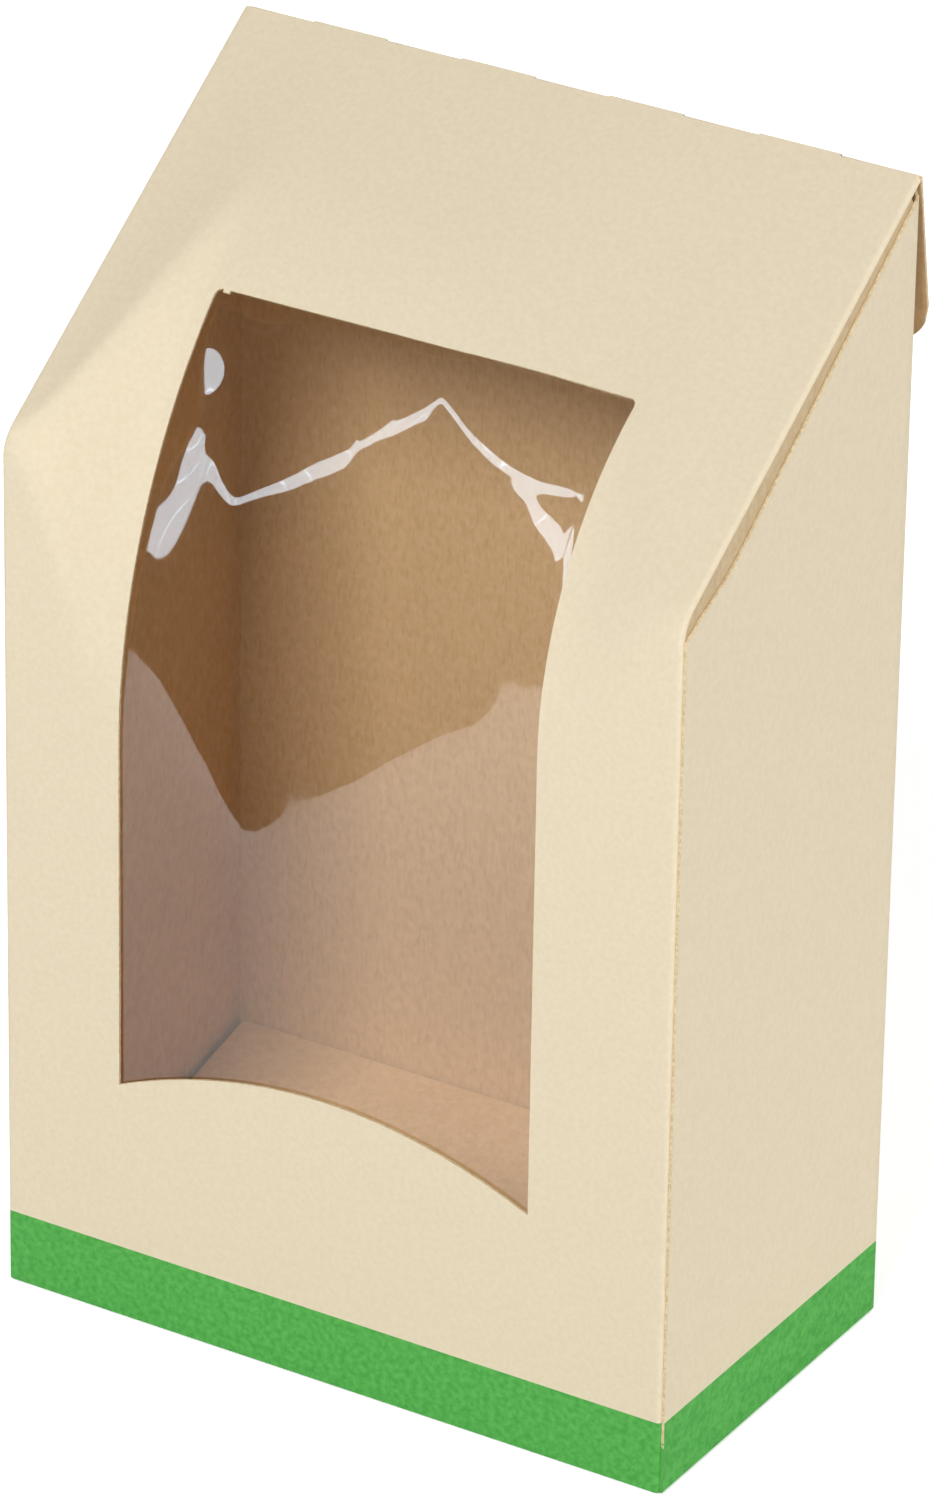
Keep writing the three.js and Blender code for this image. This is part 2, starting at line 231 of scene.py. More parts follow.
STRIP_COUNT = 5
STRIP_FIRST = -14
STRIP_SPACING = 18
STRIP_ELEVATION = 19.2
STRIP_DISTANCE = 1.3
STRIP_TARGET = Vector((0, -0.02, 0.12))
STRIP_SIZE = (0.43, 0.2)
STRIP_WATTS = 1.63
STRIP_COLOUR = "#DDF0FF"
LAMP_TARGET = (0, 0, 0.08)
KEY_PLACE = (0.1, -1.0, 0.95)
KEY_SIZE = (0.5, 0.5)
KEY_WATTS = 11.8
BACK_PLACE = (-0.9, 1.0, 0.6)
BACK_SIZE = (0.7, 0.7)
BACK_WATTS = 7
FILL_PLACE = (1.25, 0.1, 0.35)
FILL_SIZE = (0.7, 0.7)
FILL_WATTS = 6.7

# Camera, its place in metres and its turn in degrees
LENS_MM = 218.8
SENSOR_MM = 36
CAMERA_PLACE = (0.5386, -0.88755, 0.61361)
CAMERA_TURN = (62.8221, -0.861, 31.5728)


# The bent sheet, worked out as the carton is folded

def smooth(value, low, high):
    share = min(max((value - low) / (high - low), 0), 1)
    return share * share * (3 - 2 * share)


def mix(low, high, share):
    return low + (high - low) * share


class Section:
    """The outer face cut at one place across the width: up the front, round the bend, up the lid."""

    def __init__(self, across):
        place = min(max(across, 0), 2 * HALF_WIDTH)
        number = next(i for i in range(1, len(BEND_STOPS)) if BEND_STOPS[i][0] >= place)
        before, after = BEND_STOPS[number - 1], BEND_STOPS[number]
        share = smooth(place, before[0], after[0])
        self.radius = mix(before[1], after[1], share)
        corner = mix(before[2], after[2], share)
        run = RIDGE_Y - FRONT_Y
        rise = RIDGE_Z - corner
        self.turn = math.pi / 2 - math.atan2(rise, run)
        tangent = self.radius * math.tan(self.turn / 2)
        self.bend_start = corner - tangent
        self.bend_end = self.bend_start + self.radius * self.turn
        self.total = self.bend_end + math.hypot(run, rise) - tangent

    def at(self, along):
        """Point and outward direction, both in the YZ plane, a distance along from the bottom."""
        angle = min(max(along - self.bend_start, 0) / self.radius, self.turn)
        past = max(0, along - self.bend_end)
        below = min(0, along - self.bend_start)
        point = Vector((
            0,
            FRONT_Y + self.radius * (1 - math.cos(angle)) + past * math.sin(self.turn),
            self.bend_start + self.radius * math.sin(angle) + past * math.cos(self.turn) + below,
        ))
        return point, Vector((0, -math.cos(angle), math.sin(angle)))


def sheet_point(across, along, depth=0.0):
    """A point of the sheet. Past either side edge it goes round the fold, towards the inside."""
    low, high = FOLD_RADIUS, SHEET_WIDTH - FOLD_RADIUS
    flat = min(max(across, low), high)
    section = Section(flat)
    point, out = section.at(along)
    on_lid = smooth(along, section.bend_start, section.bend_end)
    on_lid *= min(max((section.total - along) / (section.total - section.bend_end), 0), 1)
    x = flat - HALF_WIDTH + LID_INSET * on_lid * max(0, 1 - across / LID_INSET_FADE)
    turn = abs(across - flat) / FOLD_RADIUS
    side = -1 if across < flat else 1
    x += side * FOLD_RADIUS * math.sin(turn)
    depth += FOLD_RADIUS * (1 - math.cos(turn))
    foot = max(0, FOOT_RADIUS - along)
    depth += FOOT_RADIUS - math.sqrt(max(0, FOOT_RADIUS ** 2 - foot ** 2))
    return Vector((x, point.y, point.z)) - out * depth


def window_bottom(across):
    offset = (across - WINDOW_MIDDLE) / WINDOW_HALF
    return WINDOW_CORNER_HEIGHT + WINDOW_ARCH_RISE * max(0, 1 - offset * offset)


def window_top(across):
    radius = WINDOW_CORNER_RADIUS
    from_corner = min(across - WINDOW_LEFT, WINDOW_RIGHT - across)
    short = radius - min(max(from_corner, 0), radius)
    drop = radius - math.sqrt(max(0, radius ** 2 - short ** 2))
    nick_start = WINDOW_LEFT + radius
    past_nick_start = across - nick_start
    in_nick = NICK_SLOPE / 2 < past_nick_start < NICK_WIDTH - NICK_SLOPE / 2
    return Section(across).total - WINDOW_TOP_BELOW_RIDGE - drop - (NICK_DEPTH if in_nick else 0)


# Mesh helpers

def cells_of(stops):
    return sum(count for _, count in stops)


def at_share(stops, share):
    """Value at a share of all cells. Each stop is (value, how many cells lead up to it)."""
    cells = share * cells_of(stops)
    value, passed = stops[0][0], 0
    for (low, _), (high, count) in zip(stops, stops[1:]):
        if cells <= passed + count + 1e-6:
            return mix(low, high, (cells - passed) / count)
        passed += count
        value = high
    return value


def add_grid(bm, column_stops, row_stops, place, keep=None, flip=False):
    """Adds a grid whose columns and rows are spaced by stops and moved by place(column, row)."""
    columns, rows = cells_of(column_stops), cells_of(row_stops)
    made = bmesh.ops.create_grid(bm, x_segments=columns, y_segments=rows, size=0.5)
    values = {}
    for vertex in made["verts"]:
        column = at_share(column_stops, round((vertex.co.x + 0.5) * columns) / columns)
        row = at_share(row_stops, round((vertex.co.y + 0.5) * rows) / rows)
        values[vertex] = (column, row)
    faces = {face for vertex in made["verts"] for face in vertex.link_faces}
    for face in faces:
        face.smooth = True
    if keep:
        out = []
        for face in faces:
            column = sum(values[v][0] for v in face.verts) / 4
            row = sum(values[v][1] for v in face.verts) / 4
            if not keep(column, row):
                out.append(face)
        bmesh.ops.delete(bm, geom=out, context="FACES")
    for vertex, (column, row) in values.items():
        if vertex.is_valid:
            vertex.co = place(column, row)
    if flip:
        bmesh.ops.reverse_faces(bm, faces=[face for face in faces if face.is_valid])


def make_piece(name, bm, materials):
    mesh = bpy.data.meshes.new(name)
    bm.to_mesh(mesh)
    bm.free()
    for material in materials:
        mesh.materials.append(material)
    piece = bpy.data.objects.new(name, mesh)
    bpy.context.scene.collection.objects.link(piece)
    return piece


def thicken(piece, thickness):
    solid = piece.modifiers.new("thickness", "SOLIDIFY")
    solid.thickness = thickness
    solid.offset = -1
    return solid


def finish_sheet(name, bm, body, materials, replaced=()):
    """Gives a one-sided sheet of board its thickness towards the inside, with crisp cut edges,
    and puts it on its body."""
    for edge in bm.edges:
        edge.smooth = not edge.is_boundary
    piece = make_piece(name, bm, materials)
    solid = thicken(piece, BOARD)
    solid.use_even_offset = True
    solid.use_quality_normals = True
    solid.material_offset = 1
    solid.material_offset_rim = 2
    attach(piece, body)
    if replaced:
        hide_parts(*replaced)


# Materials

def linear(hex_colour):
    """A written sRGB colour as the linear values that a shader takes."""
    values = [int(hex_colour[i:i + 2], 16) / 255 for i in (1, 3, 5)]
    spread = [v / 12.92 if v <= 0.04045 else ((v + 0.055) / 1.055) ** 2.4 for v in values]
    return (*spread, 1.0)


def node(tree, kind, settings=None, **links):
    """Adds a node. Settings are its own values; links are its inputs, as values or sockets."""
    made = tree.nodes.new(kind)
    for key, value in (settings or {}).items():
        setattr(made, key, value)
    for key, value in links.items():
        wanted = key.replace("_", " ").lower()
        socket = made.inputs[int(key[1:])] if key[1:].isdigit() else next(
            s for s in made.inputs if s.name.lower() == wanted and s.enabled)
        if isinstance(value, bpy.types.NodeSocket):
            tree.links.new(value, socket)
        else:
            socket.default_value = value
    return made


def new_material(name):
    material = bpy.data.materials.new(name)
    material.use_nodes = True
    tree = material.node_tree
    for old in list(tree.nodes):
        tree.nodes.remove(old)
    return material, tree


def noise_of(tree, place, millimetres, detail):
    """Noise whose patches have a real size."""
    made = node(tree, "ShaderNodeTexNoise", None, vector=place, scale=1 / (millimetres * MM),
                detail=detail)
    return made.outputs["Fac"]


def mottled(tree, place, dark, light, millimetres):
    """A colour that wanders between two, in patches of a real size, and the noise behind it."""
    noise = noise_of(tree, place, millimetres, 4.0)
    ramp = node(tree, "ShaderNodeValToRGB", None, fac=noise)
    ramp.color_ramp.elements[0].position = 0.35
    ramp.color_ramp.elements[0].color = linear(dark)
    ramp.color_ramp.elements[1].position = 0.65
    ramp.color_ramp.elements[1].color = linear(light)
    return ramp.outputs["Color"], noise


def between(tree, fac, first, second):
    made = node(tree, "ShaderNodeMix", {"data_type": "RGBA"})
    for socket, value in ((made.inputs[0], fac), (made.inputs[6], first), (made.inputs[7], second)):
        if isinstance(value, bpy.types.NodeSocket):
            tree.links.new(value, socket)
        else:
            socket.default_value = value
    return made.outputs[2]


def mix_shaders(tree, fac, first, second):
    made = node(tree, "ShaderNodeMixShader", None, fac=fac)
    tree.links.new(first.outputs[0], made.inputs[1])
    tree.links.new(second.outputs[0], made.inputs[2])
    return made


def maths(tree, operation, first, second):
    return node(tree, "ShaderNodeMath", {"operation": operation}, i0=first, i1=second).outputs[0]


def board_surface(tree, colour, roughness, specular, fibres, bump_strength):
    """A matt board whose fibres stand up a little."""
    bump = node(tree, "ShaderNodeBump", None, strength=bump_strength, distance=0.05 * MM,
                height=fibres)
    shader = node(tree, "ShaderNodeBsdfPrincipled", None, base_color=colour, roughness=roughness,
                  normal=bump.outputs[0])
    shader.inputs["Specular IOR Level"].default_value = specular
    node(tree, "ShaderNodeOutputMaterial", None, surface=shader.outputs[0])


def printed_board():
    """Uncoated kraft board printed cream, with a green band round the foot. The print is matt,
    and the paper's fibres show through it as fine darker flecks."""
    material, tree = new_material("printed_kraft_board")
    place = node(tree, "ShaderNodeTexCoord").outputs["Object"]
    patches, _ = mottled(tree, place, "#E5D6B9", "#E9DBBF", 0.8)
    speckle = noise_of(tree, place, 0.32, 2.0)
    fleck = node(tree, "ShaderNodeMapRange", None, value=speckle, from_min=0.62, from_max=0.76,
                 to_min=0.0, to_max=0.22)
    cream = between(tree, fleck.outputs[0], patches, linear("#CBB78E"))
    green_patch, _ = mottled(tree, place, "#45A040", "#5DB653", 0.9)
    green = between(tree, fleck.outputs[0], green_patch, linear("#2F8B33"))
    height = node(tree, "ShaderNodeSeparateXYZ", None, vector=place)
    in_band = maths(tree, "LESS_THAN", height.outputs["Z"], GREEN_BAND_TOP)
    colour = between(tree, in_band, cream, green)
    board_surface(tree, colour, 0.72, 0.35, speckle, 0.12)
    return material


def bare_board(name, dark, light, fibre):
    """The unprinted kraft side: warm brown, rougher, with longer fibres along the sheet. Also used,
    in a darker cream-brown, for the ears' printed outer face as painted shade.
    """
    material, tree = new_material(name)
    place = node(tree, "ShaderNodeTexCoord").outputs["Object"]
    patches, _ = mottled(tree, place, dark, light, 1.2)
    stretch = node(tree, "ShaderNodeMapping", None, vector=place)
    stretch.inputs["Scale"].default_value = (1, 1, 0.25)
    fibres = noise_of(tree, stretch.outputs[0], 0.35, 3.0)
    fleck = node(tree, "ShaderNodeMapRange", None, value=fibres, from_min=0.5, from_max=0.72,
                 to_min=0.0, to_max=0.5)
    colour = between(tree, fleck.outputs[0], patches, linear(fibre))
    board_surface(tree, colour, 0.82, 0.25, fibres, 0.15)
    return material


def cut_edge():
    """The cut edge of the board: pale fluffed fibre, a little uneven along its length. Green ink
    has run over it near the foot."""
    material, tree = new_material("cut_board_edge")
    place = node(tree, "ShaderNodeTexCoord").outputs["Object"]
    fibre, wander = mottled(tree, place, "#CDB58A", "#E6D4B0", 0.5)
    height = node(tree, "ShaderNodeSeparateXYZ", None, vector=place).outputs["Z"]
    uneven = maths(tree, "ADD", height, maths(tree, "MULTIPLY", wander, INKED_EDGE_WANDER))
    inked = maths(tree, "LESS_THAN", uneven, INKED_EDGE_TOP)
    colour = between(tree, inked, fibre, linear("#58A850"))
    shader = node(tree, "ShaderNodeBsdfPrincipled", None, base_color=colour, roughness=0.9)
    node(tree, "ShaderNodeOutputMaterial", None, surface=shader.outputs[0])
    return material


def clear_film():
    """Clear cellulose film: it lets light straight through, and each of its two glossy faces
    returns about a twentieth of what it faces, more at a slant."""
    material, tree = new_material("clear_cellulose_film")
    gloss = node(tree, "ShaderNodeBsdfPrincipled", None, base_color=linear("#FFFDFB"),
                 roughness=0.04)
    gloss.inputs["Metallic"].default_value = 1.0
    through = node(tree, "ShaderNodeBsdfTransparent")
    through.inputs["Color"].default_value = linear("#FEFEFD")
    facing = node(tree, "ShaderNodeLayerWeight").outputs["Facing"]
    slant = maths(tree, "POWER", facing, 5.0)
    part = node(tree, "ShaderNodeMapRange", None, value=slant, to_min=0.044, to_max=1.0)
    mixed = mix_shaders(tree, part.outputs[0], through, gloss)
    node(tree, "ShaderNodeOutputMaterial", None, surface=mixed.outputs[0])
    return material


PRINTED = printed_board()
BARE = bare_board("bare_kraft_board", "#DDB98B", "#E5C398", "#C9A376")
# The ears' outer face is cream print, given here a darker cream-brown: painted shade of the lid's
# overhang and the wall's top edge
EAR_PAINTED_SHADE = bare_board("ear_board_with_painted_shade", "#CDB48F", "#D6BF9B", "#BFA57E")
EDGE = cut_edge()
FILM = clear_film()

# Outer face, inner face and cut edge
BOARD_FACES = (PRINTED, BARE, EDGE)
BARE_FACES = (BARE, BARE, EDGE)
# The ears' outer face carries the painted shade
EAR_FACES = (EAR_PAINTED_SHADE, BARE, EDGE)


# Carton

def row_height(row, top):
    """Height of a row that counts from 0 at the bottom to 1 at the top."""
    if row <= FOOT_ROW:
        return FOOT_RADIUS * row / FOOT_ROW
    return mix(FOOT_RADIUS, top, (row - FOOT_ROW) / (1 - FOOT_ROW))


def front_and_lid(bm):
    """Front wall and lid, one sheet from the foot to the ridge, folded round at both sides."""
    radius = WINDOW_CORNER_RADIUS
    columns = (
        (FOLD_RADIUS - FOLD_LENGTH, 0),
        (FOLD_RADIUS, 4),
        (WINDOW_LEFT, 22),
        (WINDOW_LEFT + radius, 6),
        (WINDOW_LEFT + radius + NICK_SLOPE, 1),
        (WINDOW_LEFT + radius + NICK_WIDTH - NICK_SLOPE, 2),
        (WINDOW_LEFT + radius + NICK_WIDTH, 1),
        (WINDOW_RIGHT - radius, 50),
        (WINDOW_RIGHT, 6),
        (SHEET_WIDTH - FOLD_RADIUS, 26),
        (SHEET_WIDTH - FOLD_RADIUS + FOLD_LENGTH, 4),
    )
    rows = ((0, 0), (FOOT_ROW, 4), (1, 18), (2, 110), (3, 36))

    def along_at(across, row):
        inside = min(max(across, WINDOW_LEFT), WINDOW_RIGHT)
        bottom, top = window_bottom(inside), window_top(inside)
        total = Section(min(max(across, FOLD_RADIUS), SHEET_WIDTH - FOLD_RADIUS)).total
        top += total - Section(inside).total
        if row <= 1:
            return row_height(row, bottom)
        if row > 2:
            return mix(top, total, row - 2)
        share = row - 1
        if share < FLAT_ROWS_SHARE:
            return mix(bottom, FLAT_ROWS_TOP, share / FLAT_ROWS_SHARE)
        return mix(FLAT_ROWS_TOP, top, (share - FLAT_ROWS_SHARE) / (1 - FLAT_ROWS_SHARE))

    def place(across, row):
        return sheet_point(across, along_at(across, row))

    def keep(across, row):
        return not (WINDOW_LEFT < across < WINDOW_RIGHT and 1 < row < 2)

    add_grid(bm, columns, rows, place, keep)


def wall_top(y):
    """The side wall's sloping top edge. At the front it rises to meet the lid at the bend."""
    share = (y - FRONT_Y) / (BACK_Y - FRONT_Y)
    raised = SIDE_FRONT_RISE * (1 - smooth(y - FRONT_Y, 0, SIDE_FRONT_RISE_LENGTH))
    return mix(SIDE_FRONT_HEIGHT, SIDE_BACK_HEIGHT, share) + raised


SIDE_RUN = 2 * BACK_Y - 2 * FOLD_RADIUS
BACK_RUN = 2 * HALF_WIDTH - 2 * FOLD_RADIUS
FOLD_X = HALF_WIDTH - FOLD_RADIUS
FOLD_Y = BACK_Y - FOLD_RADIUS

# The wall's legs from the left front fold, round the back, to the seam: length, start and way.
# For the two folds the start is the fold's centre and the way is the first outward direction.
WALL_LEGS = (
    (SIDE_RUN, Vector((-HALF_WIDTH, -FOLD_Y, 0)), Vector((0, 1, 0))),
    (FOLD_LENGTH, Vector((-FOLD_X, FOLD_Y, 0)), Vector((-1, 0, 0))),
    (BACK_RUN, Vector((-FOLD_X, BACK_Y, 0)), Vector((1, 0, 0))),
    (FOLD_LENGTH, Vector((FOLD_X, FOLD_Y, 0)), Vector((0, 1, 0))),
    (SIDE_RUN, Vector((HALF_WIDTH, FOLD_Y, 0)), Vector((0, -1, 0))),
)


def wrap_point(distance, up):
    """A point of the wall, a distance along it and a height up. The foot is turned in."""
    for number, (length, start, way) in enumerate(WALL_LEGS):
        if distance <= length + 1e-9 or number == len(WALL_LEGS) - 1:
            break
        distance -= length
    if number in (1, 3):
        angle = distance / FOLD_RADIUS
        across_way = Vector((way.y, -way.x, 0))
        out = way * math.cos(angle) + across_way * math.sin(angle)
        point = start + out * FOLD_RADIUS
    else:
        out = Vector((-way.y, way.x, 0))
        point = start + way * distance
    foot = max(0, FOOT_RADIUS - up)
    inward = FOOT_RADIUS - math.sqrt(max(0, FOOT_RADIUS ** 2 - foot ** 2))
    return point - out * inward + Vector((0, 0, up))


def walls(bm):
    """Left wall, back wall and right wall, one strip folded round the back."""
    past_back = SIDE_RUN + 2 * FOLD_LENGTH + BACK_RUN
    columns = (
        (0, 0),
        (SIDE_RUN, 36),
        (SIDE_RUN + FOLD_LENGTH, 5),
        (SIDE_RUN + FOLD_LENGTH + BACK_RUN, 50),
        (past_back, 5),
        (past_back + SIDE_RUN + FOLD_RADIUS - SEAM_STEP, 36),
    )
    rows = ((0, 0), (FOOT_ROW, 4), (1, 60))

    def place(distance, row):
        flat = wrap_point(distance, 1)
        on_back = flat.y > BACK_Y - HAIR
        top = BACK_HEIGHT if on_back else wall_top(flat.y)
        return wrap_point(distance, row_height(row, top))

    add_grid(bm, columns, rows, place, flip=True)


def glue_tab(bm):
    """Continues the front round the right corner, inside the right wall."""
    x = HALF_WIDTH - BOARD - HAIR
    bottom, top = GLUE_TAB_END_GAP, SIDE_FRONT_HEIGHT - GLUE_TAB_END_GAP
    columns = ((FRONT_Y + FOLD_RADIUS, 0), (FRONT_Y + GLUE_TAB_WIDTH, 6))
    rows = ((bottom, 0), (top, 20))
    add_grid(bm, columns, rows, lambda y, z: Vector((x, y, z)))


def ear(bm, side):
    """Folds down from the lid's side edge and stands inside the side wall."""
    edge = FOLD_RADIUS if side < 0 else SHEET_WIDTH - FOLD_RADIUS
    section = Section(edge)
    x = side * (HALF_WIDTH - BOARD - EAR_CLEARANCE)
    start = section.bend_start - EAR_START_BELOW_BEND
    end = section.total - EAR_END_BELOW_RIDGE

    def place(along, share):
        past = along - section.bend_end
        reach = mix(EAR_NOSE, EAR_DEPTH, smooth(past, 0, EAR_EASE))
        reach *= mix(EAR_END_SHARE, 1, smooth(end - along, 0, EAR_EASE))
        depth = mix(FOLD_RADIUS, reach, share)
        point, out = section.at(along)
        return Vector((x, point.y, point.z)) - out * depth

    columns = ((start, 0), (section.bend_end, 8), (end, 50))
    rows = ((0, 0), (1, 10))
    add_grid(bm, columns, rows, place, flip=side > 0)


def inner_base(bm):
    """Rises from the front fold to the back wall."""
    half = HALF_WIDTH - BOARD - INNER_BASE_SIDE_GAP
    back = BACK_Y - BOARD - FOLD_GAP
    front = FRONT_Y + BOARD / 2
    slot_half = TONGUE_WIDTH / 2 + FOLD_GAP
    slot_back = FRONT_Y + 2 * BOARD + 2 * FOLD_GAP
    columns = ((-half, 0), (-slot_half, 20), (slot_half, 30), (half, 20))
    rows = ((front, 0), (slot_back, 2), (back, 40))

    def place(x, y):
        share = (y - front) / (back - front)
        middle = mix(INNER_BASE_FRONT_HEIGHT, INNER_BASE_BACK_HEIGHT, share)
        return Vector((x, y, middle - BOARD / 2))

    def keep(x, y):
        return abs(x) > slot_half or y > slot_back

    add_grid(bm, columns, rows, place, keep, flip=True)


def outer_base(bm):
    """Lies flat under the box, from the back fold to a tongue behind the front wall."""
    half = HALF_WIDTH - BOARD - FOLD_GAP
    front = FRONT_Y + BOARD + FOLD_GAP
    back = BACK_Y - FOOT_RADIUS
    columns = ((-half, 0), (half, 50))
    rows = ((front, 0), (back, 30))
    add_grid(bm, columns, rows, lambda x, y: Vector((x, y, 0)), flip=True)
    tongue_columns = ((-TONGUE_WIDTH / 2, 0), (TONGUE_WIDTH / 2, 20))
    tongue_rows = ((0, 0), (TONGUE_HEIGHT, 8))

    def place(x, z):
        return Vector((x * (1 - TONGUE_TAPER * z / TONGUE_HEIGHT), front, z))

    add_grid(bm, tongue_columns, tongue_rows, place)


def dust_flap(bm, side):
    """Folds in from the foot of a side wall, under the inner base."""
    root = side * (HALF_WIDTH - BOARD)
    tip = side * (HALF_WIDTH - DUST_FLAP_LENGTH)
    half = DUST_FLAP_WIDTH / 2
    columns = ((root, 0), (tip, 12))
    rows = ((-1, 0), (1, 20))

    def place(x, share):
        taper = DUST_FLAP_TAPER * (x - root) / (tip - root)
        return Vector((x, share * (half - taper) + BOARD, DUST_FLAP_LIFT))

    add_grid(bm, columns, rows, place, flip=side < 0)


def cut_tabs(bm):
    """Short lips of the lid that stand past the crease where it is cut."""

    def place(across, past):
        return sheet_point(across, Section(across).total + past)

    for start, end in CUT_STRETCHES:
        add_grid(bm, ((start * MM, 0), (end * MM, 12)), ((0, 0), (CUT_TAB, 1)), place)


def carton():
    outside = bmesh.new()
    front_and_lid(outside)
    walls(outside)
    glue_tab(outside)
    cut_tabs(outside)
    outer_base(outside)
    finish_sheet("carton_board", outside, "carton", BOARD_FACES, replaced=("carton",))
    ears = bmesh.new()
    ear(ears, -1)
    ear(ears, 1)
    finish_sheet("carton_ears", ears, "carton", EAR_FACES)
    inside = bmesh.new()
    inner_base(inside)
    dust_flap(inside, -1)
    dust_flap(inside, 1)
    finish_sheet("carton_base_flaps", inside, "carton", BARE_FACES)


# Closing flap

def closing_flap():
    """Hangs from the crease outside the back wall, flared a little, its lower corners round."""
    down = Vector((0, math.sin(FLAP_FLARE), -math.cos(FLAP_FLARE)))
    out = Vector((0, math.cos(FLAP_FLARE), math.sin(FLAP_FLARE)))
    half = HALF_WIDTH - FLAP_SIDE_GAP
    radius = FLAP_CORNER_RADIUS
    stops = [(-half, 0), (-half + radius, 10)]
    for start, end in CUT_STRETCHES:
        stops += [(start * MM - HALF_WIDTH - FOLD_GAP, 4), (end * MM - HALF_WIDTH + FOLD_GAP, 8)]
    stops += [(half - radius, 4), (half, 10)]
    rows = ((0, 0), (CUT_NOTCH, 1), (FLAP_LENGTH, 30))

    def place(x, drop):
        side_gap = half - abs(x)
        short = radius - min(side_gap, radius)
        length = FLAP_LENGTH - radius + math.sqrt(max(0, radius ** 2 - short ** 2))
        if drop > CUT_NOTCH:
            drop = mix(CUT_NOTCH, length, (drop - CUT_NOTCH) / (FLAP_LENGTH - CUT_NOTCH))
        return HINGE + Vector((x, 0, 0)) + down * drop + out * BOARD / 2

    def keep(x, drop):
        across = x + HALF_WIDTH
        in_cut = any(start * MM - FOLD_GAP < across < end * MM + FOLD_GAP
                     for start, end in CUT_STRETCHES)
        return drop > CUT_NOTCH or not in_cut

    bm = bmesh.new()
    add_grid(bm, stops, rows, place, keep)
    finish_sheet("closing_flap", bm, "closure_flap", BOARD_FACES, replaced=("closure_flap",))


def crease_roll():
    """The rounded fold of board that joins lid and flap between the cut stretches."""
    bm = bmesh.new()
    starts = [CREASE_ENDS[0]] + [end for _, end in CUT_STRETCHES]
    ends = [start for start, _ in CUT_STRETCHES] + [CREASE_ENDS[1]]
    for start, end in zip(starts, ends):
        length = (end - start) * MM
        made = bmesh.ops.create_cone(bm, cap_ends=True, segments=16, radius1=BOARD / 2,
                                     radius2=BOARD / 2, depth=length)
        for vertex in made["verts"]:
            x, y, z = vertex.co
            middle = (start + end) / 2 * MM - HALF_WIDTH
            vertex.co = HINGE + Vector((z + middle, x, y))
    bmesh.ops.recalc_face_normals(bm, faces=bm.faces)
    for face in bm.faces:
        face.smooth = len(face.verts) == 4
    piece = make_piece("crease_roll", bm, (PRINTED,))
    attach(piece, "closure_flap")


# Window film

def on_line(points, place):
    """Value at a place on a line through points."""
    for (low, first), (high, second) in zip(points, points[1:]):
        if place <= high:
            return mix(first, second, max(0, place - low) / (high - low))
    return points[-1][1]


def film_line(number, across, reach):
    """One of the film's lines at a place across, its corners eased over a reach (mm)."""
    points = [(line[0], line[number]) for line in FILM_LINES]
    nearby = (across - reach, across, across, across + reach)
    return sum(on_line(points, place) for place in nearby) / 4


class FilmColumn:
    """How far the film stands behind the board's line, at one place across. It is glued round
    the window and too long for the bend, so it leans back early, runs nearly straight to a
    crease and turns the rest there. Lengths are in millimetres, leans in degrees."""

    steps = 240

    def __init__(self, across):
        self.section = Section(across)
        self.across = across / MM
        self.top = (self.section.total - WINDOW_TOP_BELOW_RIDGE) / MM
        self.step = (self.top - FILM_START) / self.steps
        self.free = smooth(self.across, *FILM_FREE_LEFT)
        self.free = min(self.free, 1 - smooth(self.across, *FILM_FREE_RIGHT))
        self.rise = film_line(1, self.across, RISE_EASE)
        self.crease = film_line(2, self.across, CREASE_EASE)
        self.half = film_line(3, self.across, BREADTH_EASE) / 2
        off = (self.across - FILM_SLACK_PLACE) / FILM_SLACK_REACH
        target = FILM_BEHIND * self.free + FILM_SLACK * max(0, 1 - off * off) ** 2
        even, short, long = (self.depths(lean) for lean in (0, -1, 1))
        wanted = target - even[-1]
        other = long if wanted > 0 else short
        span = abs(other[-1] - even[-1])
        lean = max(-1, min(1, wanted / span)) if span > 1e-6 else 0
        self.behind = self.depths(lean)
        self.left_over = self.behind[-1] - target

    def depths(self, lean):
        """Adds up the lean from the foot of the window. lean from -1 to 1 sets how far back
        the nearly straight stretch and the stretch above the crease lie."""
        places = {
            "rise": self.rise,
            "low": self.crease - self.half,
            "high": self.crease + self.half,
            "top": self.top,
        }
        leans = []
        for start, offset, angle, further, nearer in FILM_LEANS:
            added = lean * (further if lean > 0 else nearer)
            leans.append((places[start] + offset, angle + added))
        found, total, before = [0], 0, 0
        for number in range(1, self.steps + 1):
            along = FILM_START + number * self.step
            turned = max(along * MM - self.section.bend_start, 0) / self.section.radius
            board = math.degrees(min(turned, self.section.turn))
            change = (on_line(leans, along) - board) * self.free
            for place, height, wide, tall, dent in FILM_DENTS:
                x, y = (self.across - place) / wide, (along - height) / tall
                if abs(x) < 1 and abs(y) < 1:
                    change += dent * (1 - x * x) ** 2 * (1 - y * y) ** 2
            total += math.radians((change + before) / 2) * self.step
            before = change
            found.append(total)
        return found

    def depth(self, along):
        place = min(max(along / MM - FILM_START, 0) / self.step, self.steps - 1e-6)
        number = int(place)
        behind = mix(self.behind[number], self.behind[number + 1], place - number)
        behind -= self.left_over * smooth(along / MM, FILM_TAKE_UP, self.top)
        behind *= 1 - smooth(along / MM - self.top, *FILM_GLUED)
        return max(behind, 0) * MM


